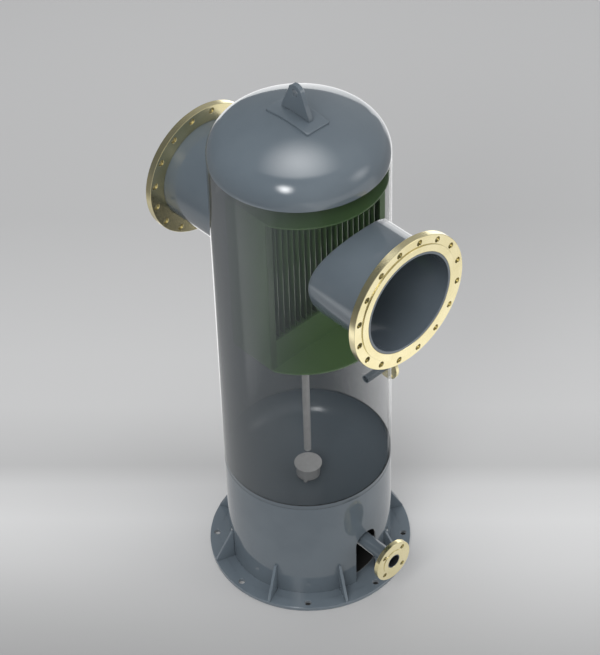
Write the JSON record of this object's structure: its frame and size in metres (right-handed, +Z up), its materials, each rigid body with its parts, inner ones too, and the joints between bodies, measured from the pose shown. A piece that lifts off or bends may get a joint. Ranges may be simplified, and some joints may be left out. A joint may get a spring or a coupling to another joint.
{
  "type": "vertical vane separator",
  "caption": "Upright vane separator: a see-through shell with dished heads on a gusseted skirt, flanged inlet and outlet, and a corrugated vane pack over a drained sump.",
  "frame": {"origin": "under the middle of the base ring, on the floor", "axes": "+Z up along the shell's axis, +X out of the outlet flange, +Y towards the instrument nozzle"},
  "size_m": [1.03, 0.8, 2.1173],
  "materials": {
    "grey_paint": "gloss grey-blue paint",
    "clear_shell": "clear grey, polished",
    "gold_flange": "satin pale gold",
    "green_paint": "satin dark green",
    "pale_steel": "dull pale steel"
  },
  "bodies": {
    "root": {"base_ring": "grey_paint", "skirt": "grey_paint", "bottom_head": "grey_paint", "top_head": "grey_paint", "lug_pad": "grey_paint", "lifting_lug": "grey_paint", "inlet_pipe": "grey_paint", "outlet_pipe": "grey_paint", "drain_pipe": "grey_paint", "gauge_pipe": "grey_paint", "gusset_1": "grey_paint", "gusset_2": "grey_paint", "gusset_3": "grey_paint", "gusset_4": "grey_paint", "gusset_5": "grey_paint", "gusset_6": "grey_paint", "gusset_7": "grey_paint", "gusset_8": "grey_paint", "shell": "clear_shell", "inlet_flange": "gold_flange", "outlet_flange": "gold_flange", "drain_flange": "gold_flange", "gauge_flange": "gold_flange", "top_plate": "green_paint", "bottom_plate": "green_paint", "tray": "green_paint", "side_plate_left": "green_paint", "side_plate_right": "green_paint", "face_strip_left": "green_paint", "face_strip_right": "green_paint", "face_blank": "green_paint", "back_blank": "green_paint", "vanes": "green_paint", "downcomer": "pale_steel", "drain_cap": "pale_steel", "cap_feet": "pale_steel"}
  },
  "joints": []
}
